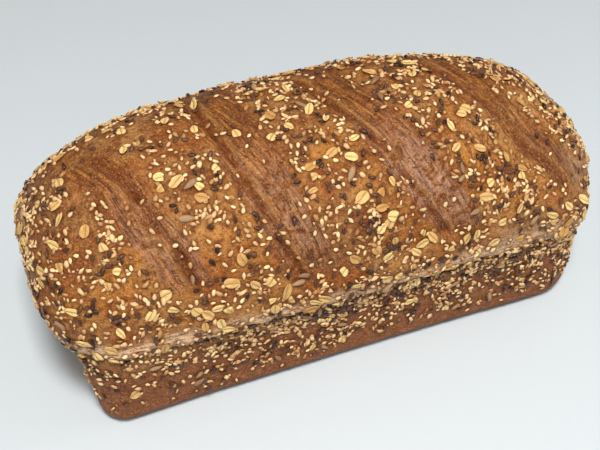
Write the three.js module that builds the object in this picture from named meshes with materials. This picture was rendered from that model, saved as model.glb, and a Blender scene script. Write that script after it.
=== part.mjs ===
// A seeded wholemeal tin loaf, baked as one piece: a block that the tin formed, a lip where the
// dough rose out of the tin, and a crowned dome with four slashes across it.
// Millimetres, +Z up, the loaf's length along X. The origin is on the surface under its middle.
import * as THREE from 'three';

// Driving dimensions: the block inside the tin.
const BASE_LENGTH = 265;
const BASE_WIDTH = 103.2; // across the middle
const FOOT_RADIUS = 10; // rounded bottom edge
const WALL_FLARE = 5.2; // how far each wall leans out between the base and the lip
const LIP_HEIGHT = 54.7; // rim of the tin
// The block's corner radii, seen from above: they grow from the base to the lip.
const HIGH_END_CORNER = { base: 14, lip: 28 }; // at the -X end
const LOW_END_CORNER = { base: 23, lip: 38 }; // and at the +X end
const SMALLEST_CORNER_RADIUS = 5;
const TAPER = 0.01; // the block is wider by this share at the +X end and narrower at the other
const HOLLOW = 0.035; // the long walls sink in by this share between the corners

// Driving dimensions: the dome above the tin.
const HIGH_END_OVERHANG = 11.8; // how far the dough spread past the rim at the -X end
const LOW_END_OVERHANG = 0.3; // and at the +X end
const SIDE_OVERHANG = 4.4; // and along each side
const CORNER_OVERHANG = 0.3; // and at the corners, at least
const BULGE_RISE = 16.8; // from the lip up to where the dome is widest
const LOAF_HEIGHT = 130; // over the middle
// Superellipse powers of the dome's outline: 2 is an ellipse, and more is squarer.
const HIGH_END_SQUARENESS = 4.2; // where the dome is widest, at the -X end
const LOW_END_SQUARENESS = 5; // and at the +X end
const CROWN_SQUARENESS = 2.2; // and near its top
const ROUNDING = 2.1; // above 1 the outline turns rounder soon above the bulge
// Below 1 the dome stays full for longer as it rises, and above 1 it slopes.
const HIGH_END_FULLNESS = 0.5;
const LOW_END_FULLNESS = 0.62;
const SIDE_FULLNESS = 0.815;
const TOP_FLATNESS = 0.9; // below 1 the dome is flatter on top than a quarter circle
const END_FALL = 0.07; // share of its height that the dome gains or loses at FALL_LENGTH from the middle
const FALL_LENGTH = 150;

// The slashes run across the dome, from behind the ridge down its front. A place on a slash is given by its
// turn round the loaf's long axis, in degrees from straight up towards the front. It lies there at
// x + drift * turn + curve * turn ** 2.
const SLASHES = [
  { x: -105, drift: 0.55, curve: -0.0013, back: -8, front: 70 },
  { x: -51, drift: 0.17, curve: 0.0025, back: -42, front: 80 },
  { x: 9, drift: 0.4, curve: 0.0018, back: -42, front: 78 },
  { x: 77, drift: 0.45, curve: 0.0025, back: -38, front: 76 },
];
const TURN_AXIS_HEIGHT = 60;
const SLASH_DEPTH = 1.8;
const SLASH_HALF_WIDTH = 9;
const SLASH_FADE = 12; // degrees over which a slash runs out at each end

// Mesh fineness.
const SIDE_STEPS = 52;
const END_STEPS = 22;
const FOOT_STEPS = 3;
const WALL_STEPS = 2;
const BULGE_STEPS = 4;
const DOME_STEPS = 17;

const domeFoot = LIP_HEIGHT + BULGE_RISE;
const domeHalfWidth = BASE_WIDTH / 2 + WALL_FLARE + SIDE_OVERHANG;
const highEndLength = BASE_LENGTH / 2 + WALL_FLARE + HIGH_END_OVERHANG;
const lowEndLength = BASE_LENGTH / 2 + WALL_FLARE + LOW_END_OVERHANG;
const centring = (HIGH_END_OVERHANG - LOW_END_OVERHANG) / 2; // puts the middle of the whole loaf at x = 0

// Points spaced evenly round a square from -1 to 1. Every outline is this square, stretched and rounded.
function outlineDirections() {
  const corners = [[-1, -1], [1, -1], [1, 1], [-1, 1]];
  const steps = [SIDE_STEPS, END_STEPS, SIDE_STEPS, END_STEPS];
  const directions = [];
  corners.forEach(([x0, y0], side) => {
    const [x1, y1] = corners[(side + 1) % corners.length];
    for (let i = 0; i < steps[side]; i += 1) {
      const t = i / steps[side];
      directions.push([x0 + (x1 - x0) * t, y0 + (y1 - y0) * t]);
    }
  });
  return directions;
}

const directions = outlineDirections();

function domeSquareness(dx) {
  return dx < 0 ? HIGH_END_SQUARENESS : LOW_END_SQUARENESS;
}

function superellipseReach(dx, dy, squareness) {
  return (Math.abs(dx) ** squareness + Math.abs(dy) ** squareness) ** (-1 / squareness);
}

// One level outline of the block inside the tin, larger than its base by the outset all round: a rectangle
// with rounded corners and slightly hollow long sides. share is 0 at the foot and 1 at the lip.
function blockOutline(outset, share, z) {
  const halfLength = BASE_LENGTH / 2 + outset;
  const halfWidth = BASE_WIDTH / 2 + outset;
  return directions.map(([dx, dy]) => {
    const corner = dx < 0 ? HIGH_END_CORNER : LOW_END_CORNER;
    const fullRadius = THREE.MathUtils.lerp(corner.base, corner.lip, share);
    const radius = Math.max(fullRadius + Math.min(outset, 0), SMALLEST_CORNER_RADIUS);
    const core = new THREE.Vector2(
      THREE.MathUtils.clamp(halfLength * dx, radius - halfLength, halfLength - radius),
      THREE.MathUtils.clamp(halfWidth * dy, radius - halfWidth, halfWidth - radius),
    );
    const edge = new THREE.Vector2(halfLength * dx, halfWidth * dy).sub(core).setLength(radius).add(core);
    return new THREE.Vector3(edge.x, edge.y * (1 + TAPER * dx + HOLLOW * dx * dx), z);
  });
}

const lipOutline = blockOutline(WALL_FLARE, 1, LIP_HEIGHT);

// How much farther out than its superellipse the dome must start in each direction, so that no corner of
// the block sticks out from under it.
const cornerStretch = directions.map(([dx, dy], k) => {
  const reach = superellipseReach(dx, dy, domeSquareness(dx));
  const dome = Math.hypot((dx < 0 ? highEndLength : lowEndLength) * dx * reach, domeHalfWidth * dy * reach);
  const lip = Math.hypot(lipOutline[k].x, lipOutline[k].y);
  return Math.max(1, (lip + CORNER_OVERHANG) / dome);
});

// One level outline of the dome: a superellipse, whose two ends reach out differently. share is how far it
// has come from the block's squarer shape to the crown's round one. closing falls from 1 where the dome is
// widest to 0 at its top.
function domeOutline(closing, share, z) {
  return directions.map(([dx, dy], k) => {
    const squareness = THREE.MathUtils.lerp(domeSquareness(dx), CROWN_SQUARENESS, share);
    const stretch = THREE.MathUtils.lerp(cornerStretch[k], 1, share);
    const reach = superellipseReach(dx, dy, squareness) * stretch;
    const halfLength = dx < 0
      ? highEndLength * closing ** HIGH_END_FULLNESS
      : lowEndLength * closing ** LOW_END_FULLNESS;
    const halfWidth = domeHalfWidth * closing ** SIDE_FULLNESS;
    return new THREE.Vector3(halfLength * dx * reach, halfWidth * dy * reach, z);
  });
}

// The rounded bottom edge, a quarter circle from the flat base to the foot of the wall.
function footOutlines() {
  const rings = [];
  for (let i = 0; i <= FOOT_STEPS; i += 1) {
    const angle = (i / FOOT_STEPS) * (Math.PI / 2);
    const inset = FOOT_RADIUS * (1 - Math.sin(angle));
    rings.push(blockOutline(-inset, 0, FOOT_RADIUS * (1 - Math.cos(angle))));
  }
  return rings;
}

// The walls that the tin formed.
function wallOutlines() {
  const rings = [];
  for (let i = 1; i <= WALL_STEPS; i += 1) {
    const t = i / WALL_STEPS;
    rings.push(blockOutline(WALL_FLARE * t, t, THREE.MathUtils.lerp(FOOT_RADIUS, LIP_HEIGHT, t)));
  }
  return rings;
}

// The underside of the bulge: it leaves the lip almost level and turns up to where the dome is widest.
function bulgeOutlines() {
  const widest = domeOutline(1, 0, domeFoot);
  const rings = [];
  for (let i = 1; i <= BULGE_STEPS; i += 1) {
    const angle = (i / BULGE_STEPS) * (Math.PI / 2);
    const spread = Math.sin(angle);
    const z = LIP_HEIGHT + BULGE_RISE * (1 - Math.cos(angle));
    rings.push(lipOutline.map((point, k) => point.clone().lerp(widest[k], spread).setZ(z)));
  }
  return rings;
}

// The dome, up to but without its highest point.
function domeOutlines() {
  const rings = [];
  for (let i = 1; i < DOME_STEPS; i += 1) {
    const angle = (i / DOME_STEPS) * (Math.PI / 2);
    const rise = Math.sin(angle);
    rings.push(domeOutline(
      Math.cos(angle),
      1 - (1 - rise) ** ROUNDING,
      THREE.MathUtils.lerp(domeFoot, LOAF_HEIGHT, rise ** TOP_FLATNESS),
    ));
  }
  return rings;
}

// How deep the slashes cut at a place on the dome.
function slashDepth(point) {
  const turn = THREE.MathUtils.radToDeg(Math.atan2(-point.y, point.z - TURN_AXIS_HEIGHT));
  return SLASHES.reduce((depth, slash) => {
    const path = slash.x + slash.drift * turn + slash.curve * turn * turn;
    const across = (point.x + centring - path) / SLASH_HALF_WIDTH;
    const into = Math.min(turn - slash.back, slash.front - turn) / SLASH_FADE;
    const run = THREE.MathUtils.smoothstep(into, 0, 1);
    return depth + SLASH_DEPTH * run * Math.exp(-across * across);
  }, 0);
}

// The dome stands a little higher at its -X end, and the slashes are pressed in towards its long axis.
function shapeDome(point) {
  if (point.z <= LIP_HEIGHT) {
    return point;
  }
  const height = (point.z - LIP_HEIGHT) / (LOAF_HEIGHT - LIP_HEIGHT);
  const leaning = point.z * (1 - END_FALL * (point.x / FALL_LENGTH) * height);
  const inward = new THREE.Vector3(0, -point.y, domeFoot - point.z).normalize();
  const depth = slashDepth(point) * THREE.MathUtils.smoothstep(height, 0.05, 0.3);
  return new THREE.Vector3(point.x, point.y, leaning).addScaledVector(inward, depth);
}

// Joins the outlines, from the base up, and closes the base and the top with a fan of triangles each.
function loftGeometry(rings, bottom, top) {
  const count = directions.length;
  const points = [...rings.flat(), bottom, top];
  const bottomIndex = rings.length * count;
  const topIndex = bottomIndex + 1;
  const topRing = (rings.length - 1) * count;
  const faces = [];
  for (let i = 0; i < count; i += 1) {
    const next = (i + 1) % count;
    for (let ring = 0; ring < rings.length - 1; ring += 1) {
      const low = ring * count;
      const high = low + count;
      faces.push(low + i, low + next, high + next);
      faces.push(low + i, high + next, high + i);
    }
    faces.push(bottomIndex, next, i);
    faces.push(topIndex, topRing + i, topRing + next);
  }
  const geometry = new THREE.BufferGeometry();
  const coordinates = points.flatMap((point) => point.toArray());
  geometry.setAttribute('position', new THREE.Float32BufferAttribute(coordinates, 3));
  geometry.setIndex(faces);
  geometry.translate(centring, 0, 0);
  geometry.computeVertexNormals();
  return geometry;
}

function makeLoaf() {
  const rings = [...footOutlines(), ...wallOutlines(), ...bulgeOutlines(), ...domeOutlines()];
  const shaped = rings.map((ring) => ring.map(shapeDome));
  const bottom = new THREE.Vector3(0, 0, 0);
  const top = shapeDome(new THREE.Vector3(0, 0, LOAF_HEIGHT));
  const crust = new THREE.MeshStandardMaterial({ color: 0x94592f, roughness: 0.75, metalness: 0 });
  const mesh = new THREE.Mesh(loftGeometry(shaped, bottom, top), crust);
  mesh.name = 'loaf';
  return mesh;
}

const tinLoaf = new THREE.Group();
tinLoaf.add(makeLoaf());

export default tinLoaf;
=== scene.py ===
# %% [markdown]
# # A seeded tin loaf
# One loaf of wholemeal bread, baked in a long tin and rolled in seeds. It is a single baked thing: the tin
# shaped its flat base and straight walls, the dough rose over the rim and spread into a lip, and four
# slashes let the dome open as it baked. The plain solid that this script starts from gives the true size
# and outer shape. Here the same loaf gets its crust, and the thousands of grains that are baked into it.

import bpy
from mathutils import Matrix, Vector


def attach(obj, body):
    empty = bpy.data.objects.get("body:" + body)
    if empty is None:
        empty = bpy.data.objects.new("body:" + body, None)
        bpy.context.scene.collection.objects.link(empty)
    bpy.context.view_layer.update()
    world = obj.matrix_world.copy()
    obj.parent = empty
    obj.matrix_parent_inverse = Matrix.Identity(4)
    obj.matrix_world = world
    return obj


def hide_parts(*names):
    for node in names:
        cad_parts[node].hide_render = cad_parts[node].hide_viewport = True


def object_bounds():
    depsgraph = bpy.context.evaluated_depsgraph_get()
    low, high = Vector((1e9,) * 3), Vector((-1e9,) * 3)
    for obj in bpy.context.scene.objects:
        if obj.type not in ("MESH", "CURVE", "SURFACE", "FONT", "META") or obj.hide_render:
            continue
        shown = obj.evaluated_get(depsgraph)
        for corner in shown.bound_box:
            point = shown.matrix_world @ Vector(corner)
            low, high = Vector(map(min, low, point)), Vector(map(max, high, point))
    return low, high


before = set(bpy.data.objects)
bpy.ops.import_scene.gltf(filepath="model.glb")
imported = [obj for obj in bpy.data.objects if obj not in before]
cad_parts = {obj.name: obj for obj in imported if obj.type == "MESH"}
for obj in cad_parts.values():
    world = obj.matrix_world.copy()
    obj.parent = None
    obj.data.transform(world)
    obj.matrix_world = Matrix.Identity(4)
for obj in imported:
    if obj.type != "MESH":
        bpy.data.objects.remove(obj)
cad_low, cad_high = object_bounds()
print("the loaf measures", [round(v, 4) for v in cad_high - cad_low])

# %% [markdown]
# Lengths are in metres, so a millimetre gets a name. Whatever is random comes from one generator with a
# fixed seed, so that every run bakes the same loaf.

# %% Modules and units
import math

import bpy
import numpy as np
from mathutils import Quaternion, Vector, noise
from mathutils.kdtree import KDTree

MM = 0.001
SEED = 7
rng = np.random.default_rng(SEED)
print("one millimetre is", MM, "and the seed is", SEED)

# %% [markdown]
# ## Camera, floor and light
# The loaf is looked down on from its front left, so the camera is placed by two angles and a distance from
# a point inside the loaf. One could also place it by hand and read off its numbers. Angles are easier to
# reason about.

# %% Camera
LOOK_AT = Vector((-0.0053, 0.0, 0.0519))
CAMERA_AZIMUTH = math.radians(-20.8)
CAMERA_ELEVATION = math.radians(43.2)
CAMERA_ROLL = math.radians(-0.5)
CAMERA_DISTANCE = 0.533
FIELD_OF_VIEW = math.radians(32.6)
NEAREST_SEEN = 0.01


def towards(azimuth, elevation):
    """The direction from the loaf to something at that azimuth and elevation. Azimuth 0 is in front of it."""
    flat = math.cos(elevation)
    return Vector((math.sin(azimuth) * flat, -math.cos(azimuth) * flat, math.sin(elevation)))


def add_object(name, data):
    made = bpy.data.objects.new(name, data)
    bpy.context.scene.collection.objects.link(made)
    return made


def aim(thing, place, target, roll=0.0):
    thing.location = place
    thing.rotation_mode = "QUATERNION"
    facing = (target - place).to_track_quat("-Z", "Y")
    thing.rotation_quaternion = facing @ Quaternion((0, 0, 1), roll)


camera = add_object("camera", bpy.data.cameras.new("camera"))
camera.data.angle = FIELD_OF_VIEW
camera.data.clip_start = NEAREST_SEEN
aim(camera, LOOK_AT + towards(CAMERA_AZIMUTH, CAMERA_ELEVATION) * CAMERA_DISTANCE, LOOK_AT, CAMERA_ROLL)
bpy.context.scene.camera = camera
print("camera at", [round(v, 3) for v in camera.location])

# %% [markdown]
# A loaf on a pale table under a big soft lamp and a pale room. The lamp is high and a little in front,
# which leaves the walls in half shade and puts a dull shine on the open slashes. Two weak lamps soften the
# shadows.

# %% Light
LAMPS = [
    {"name": "key", "azimuth": -14, "elevation": 64, "distance": 1.3, "size": 0.26, "power": 20},
    {"name": "front", "azimuth": -25, "elevation": 22, "distance": 1.6, "size": 0.6, "power": 3},
    {"name": "side", "azimuth": 70, "elevation": 40, "distance": 1.5, "size": 0.8, "power": 3},
]
ROOM_LIGHT = 0.335
ROOM_TINT = (1.0, 0.98, 0.94, 1)

for lamp in LAMPS:
    light = bpy.data.lights.new(lamp["name"], "AREA")
    light.size = lamp["size"]
    light.energy = lamp["power"]
    direction = towards(math.radians(lamp["azimuth"]), math.radians(lamp["elevation"]))
    aim(add_object(lamp["name"], light), LOOK_AT + direction * lamp["distance"], LOOK_AT)
world = bpy.data.worlds.new("room")
world.use_nodes = True
world.node_tree.nodes["Background"].inputs["Color"].default_value = ROOM_TINT
world.node_tree.nodes["Background"].inputs["Strength"].default_value = ROOM_LIGHT
bpy.context.scene.world = world
bpy.context.scene.view_settings.view_transform = "Standard"
print("lamps:", [lamp["name"] for lamp in LAMPS])

# %% [markdown]
# The floor is one large sheet of pale card, wide enough that no edge of it shows from the front. It isn't
# part of the loaf.

# %% Floor
FLOOR_SIZE = 6.0
FLOOR_COLOUR = (0.55, 0.59, 0.605, 1)
FLOOR_ROUGHNESS = 0.7


def deselect():
    """Operators act on everything that is selected, so each piece starts from nothing selected."""
    bpy.ops.object.select_all(action="DESELECT")


def new_material(name):
    material = bpy.data.materials.new(name)
    material.use_nodes = True
    tree = material.node_tree
    return material, tree, tree.nodes["Principled BSDF"]


deselect()
bpy.ops.mesh.primitive_plane_add(size=FLOOR_SIZE)
floor = bpy.context.active_object
floor.name = "floor"
card, _, card_shader = new_material("pale_card")
card_shader.inputs["Base Color"].default_value = FLOOR_COLOUR
card_shader.inputs["Roughness"].default_value = FLOOR_ROUGHNESS
floor.data.materials.append(card)
print("floor of", FLOOR_SIZE, "m")

# %% [markdown]
# ## The loaf's form
# Dough that fills a tin starts as a box, so the crust starts as a box too. A grid is its top, its open edge
# is pulled down row by row for the walls, and the last row is drawn in under the base and closed. That
# gives clean four-sided faces everywhere. Then every vertex is moved onto the risen loaf: its place on the
# box says which way it lies from the middle, and its height says how far up the loaf's profile it belongs.
# A sculpting tool could do this by hand, but the loaf must keep its exact size, and a rule does that.

# %% The box of dough
GRID_LONG = 232  # faces along the top
GRID_WIDE = 98  # faces across it
FOOT, WALL, BULGE, DOME, TOP = 0, 1, 2, 3, 4  # heights on the profile, from the base to the crown
SHOULDER = 3.4  # the top grid covers the dome from here up
ROWS = [(SHOULDER, DOME, 30), (DOME, BULGE, 24), (BULGE, WALL, 28), (WALL, FOOT, 9)]
RISE = 30 * MM  # box height for each step of the profile
BASE_RINGS = (0.97, 0.9, 0.78, 0.6, 0.4, 0.2)

size = cad_high - cad_low
deselect()
bpy.ops.mesh.primitive_grid_add(x_subdivisions=GRID_LONG, y_subdivisions=GRID_WIDE, size=1,
                                location=(0, 0, SHOULDER * RISE))
crust = bpy.context.active_object
crust.name = "crust"
crust.scale = (size.x, size.y, 1)
bpy.ops.object.transform_apply(location=True, rotation=True, scale=True)
bpy.ops.object.mode_set(mode="EDIT")
bpy.ops.mesh.select_mode(type="EDGE")
bpy.ops.mesh.select_all(action="DESELECT")
bpy.ops.mesh.select_non_manifold()
for top, bottom, count in ROWS:
    for _ in range(count):
        step = (0, 0, -(top - bottom) * RISE / count)
        bpy.ops.mesh.extrude_region_move(TRANSFORM_OT_translate={"value": step})
for before, share in zip((1.0, *BASE_RINGS), BASE_RINGS):
    bpy.ops.mesh.extrude_region_move(TRANSFORM_OT_translate={"value": (0, 0, 0)})
    bpy.ops.transform.resize(value=(share / before, share / before, 1), center_override=(0, 0, 0))
bpy.ops.mesh.extrude_region_move(TRANSFORM_OT_translate={"value": (0, 0, 0)})
bpy.ops.mesh.merge(type="CENTER")
bpy.ops.mesh.select_all(action="SELECT")
bpy.ops.mesh.normals_make_consistent(inside=False)
bpy.ops.object.mode_set(mode="OBJECT")
print("box of dough:", len(crust.data.polygons), "faces")

# %% [markdown]
# The operators may number the faces differently each time they run. The grains are drawn face by face
# further on, so the faces are put in an order that depends only on their corners, and every run makes the
# very same loaf.

# %% The faces in a fixed order
def read_vectors(mesh, field="co"):
    values = np.zeros(len(mesh.vertices) * 3)
    mesh.vertices.foreach_get(field, values)
    return values.reshape(-1, 3)


def faces_in_order(mesh):
    """Each face starts at its lowest corner, and the faces are sorted."""
    faces = []
    for face in mesh.polygons:
        corners = list(face.vertices)
        first = corners.index(min(corners))
        faces.append(corners[first:] + corners[:first])
    return sorted(faces)


ordered = bpy.data.meshes.new("crust")
ordered.from_pydata(read_vectors(crust.data), [], faces_in_order(crust.data))
crust.data = ordered
print("faces put in order:", len(ordered.polygons))

# %% [markdown]
# The profile's measures are those of the tin and of the dough that rose out of it, the same sizes as the
# plain solid has. The tin gave the block rounded corners, so its level outlines are rectangles with round
# corners. Free dough has no straight edge, so the dome's level outlines are superellipses: a power says how
# square each one is, and it falls from the lip, which still follows the tin, to the round crown.

# %% The loaf's measures
BASE_LONG = 132.5 * MM  # half the length of the base
BASE_WIDE = 51.6 * MM  # half its width
FOOT_RADIUS = 10 * MM
WALL_FLARE = 5.2 * MM
LIP_HEIGHT = 54.7 * MM
HIGH_END, LOW_END, SIDE = 11.8 * MM, 0.3 * MM, 4.4 * MM  # past the rim at the -X end, +X end and sides
CORNER_OVERHANG = 0.3 * MM
BULGE_RISE = 16.8 * MM
LOAF_HEIGHT = 130 * MM
HIGH_CORNER, LOW_CORNER = 14 * MM, 23 * MM  # the block's corners at its base, seen from above
HIGH_LIP_CORNER, LOW_LIP_CORNER = 28 * MM, 38 * MM  # and at the lip
SMALLEST_CORNER = 5 * MM
HIGH_SQUARE, LOW_SQUARE, CROWN_SQUARE = 4.2, 5.0, 2.2
ROUNDING = 2.1  # how soon the dome loses its square corners
HIGH_FULL, LOW_FULL, SIDE_FULL, TOP_FLAT = 0.5, 0.62, 0.815, 0.9  # lower is fuller
LEAN = 0.07 / (150 * MM)
TAPER, HOLLOW = 0.01, 0.035  # the block widens to its +X end, and its long walls sink in between the corners
EVENING = 1.4  # spreads the top grid's rings evenly over the crown
print("block", round(2 * BASE_LONG / MM), "by", round(2 * BASE_WIDE / MM), "mm, lip at", LIP_HEIGHT / MM)

# %% [markdown]
# First each vertex learns its place on the box: its ring and way as seen from above, and its climb up the
# profile. From the climb follow four shares: round the foot, up the wall, out into the bulge, and over the
# dome.

# %% Each vertex's place on the box
def smooth(low, high, value):
    """0 at low, 1 at high, and a soft step between. low may be the larger one."""
    share = np.clip((value - low) / (high - low), 0, 1)
    return share * share * (3 - 2 * share)


def blend(a, b, share):
    return a + (b - a) * share


raw = read_vectors(crust.data)
across_box = raw[:, :2] / (np.array(size.xy) / 2)
ring = np.abs(across_box).max(1)  # 1 on the box's walls, 0 in the middle of its top and base
way = across_box / np.maximum(ring, 1e-9)[:, None]
way[ring < 1e-6] = (1, 0)  # the two middle points lie no way at all
at_high_end = way[:, 0] < 0
on_top = raw[:, 2] > (SHOULDER - 0.001) * RISE
inside = np.where(raw[:, 2] < 0.001 * RISE, ring, 1)  # below 1 only under the base
climb = np.where(on_top, TOP - (TOP - SHOULDER) * ring ** EVENING, raw[:, 2] / RISE)
quarter = math.pi / 2
foot_turn = np.clip(climb, 0, 1) * quarter
wall_share = np.clip(climb - WALL, 0, 1)
bulge_turn = np.clip(climb - BULGE, 0, 1) * quarter
dome_turn = np.clip(climb - DOME, 0, 1) * quarter
spread = np.sin(bulge_turn)
rise = np.sin(dome_turn)
height = np.where(climb <= WALL, FOOT_RADIUS * (1 - np.cos(foot_turn)),
                  blend(FOOT_RADIUS, LIP_HEIGHT, wall_share) + BULGE_RISE * (1 - np.cos(bulge_turn)))
height = np.where(climb > DOME, blend(height, LOAF_HEIGHT, rise ** TOP_FLAT), height)
up_the_dome = np.clip((height - LIP_HEIGHT) / (LOAF_HEIGHT - LIP_HEIGHT), 0, 1)
print("vertices on the top grid:", int(on_top.sum()), "and on the walls and base:", int((~on_top).sum()))

# %% [markdown]
# The block is what the tin shaped. Its walls flare outwards a little, as a tin's do, and its corners are
# tighter at the base than at the rim.

# %% The block from the tin
def round_corners(x, y, half_long, half_wide, radius):
    """Points on a rectangle's edge, drawn in where they lie in a corner, so that it has that radius."""
    core_x = np.clip(x, radius - half_long, half_long - radius)
    core_y = np.clip(y, radius - half_wide, half_wide - radius)
    out = np.maximum(np.hypot(x - core_x, y - core_y), 1e-9)
    return core_x + (x - core_x) * radius / out, core_y + (y - core_y) * radius / out


def tin_outline(half_long, half_wide, corner):
    """Where each vertex's way meets the tin's outline. The long walls taper and sink in a little."""
    x, y = round_corners(half_long * way[:, 0], half_wide * way[:, 1], half_long, half_wide, corner)
    return x, y * (1 + TAPER * way[:, 0] + HOLLOW * way[:, 0] ** 2)


outset = WALL_FLARE * wall_share - FOOT_RADIUS * (1 - np.sin(foot_turn))
lip_corner = np.where(at_high_end, HIGH_LIP_CORNER, LOW_LIP_CORNER)
corner = blend(np.where(at_high_end, HIGH_CORNER, LOW_CORNER), lip_corner, wall_share)
corner = np.maximum(corner + np.minimum(outset, 0), SMALLEST_CORNER)
block_x, block_y = tin_outline(BASE_LONG + outset, BASE_WIDE + outset, corner)
lip_long, lip_wide = BASE_LONG + WALL_FLARE, BASE_WIDE + WALL_FLARE
lip_x, lip_y = tin_outline(lip_long, lip_wide, lip_corner)
lip_reach = np.hypot(lip_x, lip_y)
print("lip outline", round(2 * lip_x.max() / MM, 1), "by", round(2 * lip_y.max() / MM, 1), "mm")

# %% [markdown]
# The dome is dough that rose freely. It starts past the rim, and no corner of the block may stick out from
# under it, so it is stretched there. The form then passes from block to dome over the bulge.

# %% The dome
end_share = np.cos(dome_turn) ** np.where(at_high_end, HIGH_FULL, LOW_FULL)
side_share = np.cos(dome_turn) ** SIDE_FULL
low_square = np.where(at_high_end, HIGH_SQUARE, LOW_SQUARE)
squareness = blend(CROWN_SQUARE, low_square, (1 - rise) ** ROUNDING)
reach = (np.abs(way) ** squareness[:, None]).sum(1) ** (-1 / squareness)
dome_long, dome_wide = lip_long + np.where(at_high_end, HIGH_END, LOW_END), lip_wide + SIDE
low_reach = (np.abs(way) ** low_square[:, None]).sum(1) ** (-1 / low_square)
low_dome = np.hypot(dome_long * way[:, 0], dome_wide * way[:, 1]) * low_reach
stretch = np.maximum(1, (lip_reach + CORNER_OVERHANG) / low_dome)
overhang = low_dome * stretch - lip_reach
stretch = blend(1, stretch, (1 - rise) ** ROUNDING)
dome_x = dome_long * end_share * way[:, 0] * reach * stretch
dome_y = dome_wide * side_share * way[:, 1] * reach * stretch
x = blend(block_x, dome_x, spread) * inside
y = blend(block_y, dome_y, spread) * inside
z = height * (1 - LEAN * x * up_the_dome)
centring = (HIGH_END - LOW_END) / 2


def write_places(mesh, places):
    mesh.vertices.foreach_set("co", places.reshape(-1).astype(np.float32))
    mesh.update()


form = np.stack([x + centring, y, z], 1)
write_places(crust.data, form)
bpy.ops.object.shade_smooth()
print("loaf form from", form.min(0).round(4), "to", form.max(0).round(4))

# %% [markdown]
# ## The crust's relief
# Three things shape a crust: the dough's own lumps, the slashes that tore open, and the torn band above the
# rim where the loaf sprang out of its tin. Each is a height over the smooth form in millimetres, worked out
# from a vertex's place and added along its normal, as a sculptor's brush would. Noise gives the lumps. The
# last number of each call shifts it, so that no two patterns are alike.

# %% Helpers for relief
def lumps(points, grain, offset=0.0):
    """Noise from about -1 to 1 with lumps of that size in metres. grain may differ along X, Y and Z."""
    placed = points / np.array(grain) + offset
    return np.array([noise.noise(p) for p in placed.tolist()])


def push(mesh, places, amount):
    """Moves each vertex along its normal."""
    normals = read_vectors(mesh, "normal")
    places = places + normals * amount[:, None]
    write_places(mesh, places)
    return places


def bump(distance, width):
    """1 where the distance is 0, and falling away softly over that width on both sides."""
    return np.exp(-(distance / width) ** 2)


across_mm = form[:, 0] / MM
up_mm = form[:, 2] / MM
relief = np.zeros(len(form))
print("relief starts flat on", len(relief), "vertices")

# %% [markdown]
# Each slash runs slantwise down the dome. As the loaf rose, one edge lifted and left a dark groove beside
# it, and the dough between stretched into a smooth streaked band with no grains on it. A slash is followed
# by its turn round the loaf, in degrees from the ridge down the front: at each turn a curve says where
# along the loaf it lies. left and right are the band's reach on each side of the groove, red is how far
# the groove's colour spreads, and shine is how strong the band's painted sheen is.

# %% Where the slashes run
SLASHES = [
    {"x": -105, "drift": 0.55, "curve": -0.0013, "back": -8, "front": 70,
     "left": 14, "right": 8, "groove": 3.0, "shine": 0.8, "red": 3.6},
    {"x": -51, "drift": 0.17, "curve": 0.0025, "back": -42, "front": 80,
     "left": 5, "right": 21, "groove": 2.1, "shine": 0.9, "red": 1.9},
    {"x": 9, "drift": 0.40, "curve": 0.0018, "back": -42, "front": 78,
     "left": 5, "right": 22, "groove": 1.6, "shine": 1.5, "red": 1.7},
    {"x": 77, "drift": 0.45, "curve": 0.0025, "back": -38, "front": 76,
     "left": 6, "right": 16, "groove": 1.3, "shine": 0.25, "red": 1.6},
]
SLASH_FADE = 12  # degrees over which a slash runs out at each end
SLASH_EDGE = 3  # millimetres over which its band fades at each side
SLASH_TROUGH = 12  # millimetres, half the width of the shallow trough along it
AXIS_HEIGHT = 60 * MM  # the turns are counted round a line at this height
EAR_AT = 3.4  # from the groove to the lifted edge beside it, in millimetres
GROOVE_WIDTH, EAR_WIDTH = 1.6, 1.4
EAR_HEIGHT, BAND_DEPTH, TROUGH_DEPTH, STREAK_HEIGHT = 1.5, 0.3, 1.5, 0.5
# the painted sheen is strongest at this turn
SHINE_AT, SHINE_REACH = 45, 24  # degrees: where a band shines most, and how far from there
FOOT_AT = 7  # degrees from a slash's lower end to the middle of its orange foot

turn = np.degrees(np.arctan2(-form[:, 1], form[:, 2] - AXIS_HEIGHT))
on_dome = smooth(0.05, 0.25, up_the_dome)
wander = lumps(form, 24 * MM, 3.1) * 2.2 + lumps(form, 7 * MM, 3.7) * 0.7
broken = smooth(-0.35, 0.25, lumps(form, 11 * MM, 30.0))
slash_names = ("slash", "groove", "ear", "sheen", "foot")
slashed = {name: np.zeros(len(form)) for name in slash_names}


def keep_highest(name, values):
    """Where slashes meet, the stronger one counts."""
    slashed[name] = np.maximum(slashed[name], values)


print("slashes at", [slash["x"] for slash in SLASHES], "mm along the ridge")

# %% [markdown]
# The groove is narrow and breaks off here and there, its edge stands up like a lip, and the whole band lies
# in a shallow trough. Fine streaks run along the stretch, so their noise is squeezed across the slash.

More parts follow.
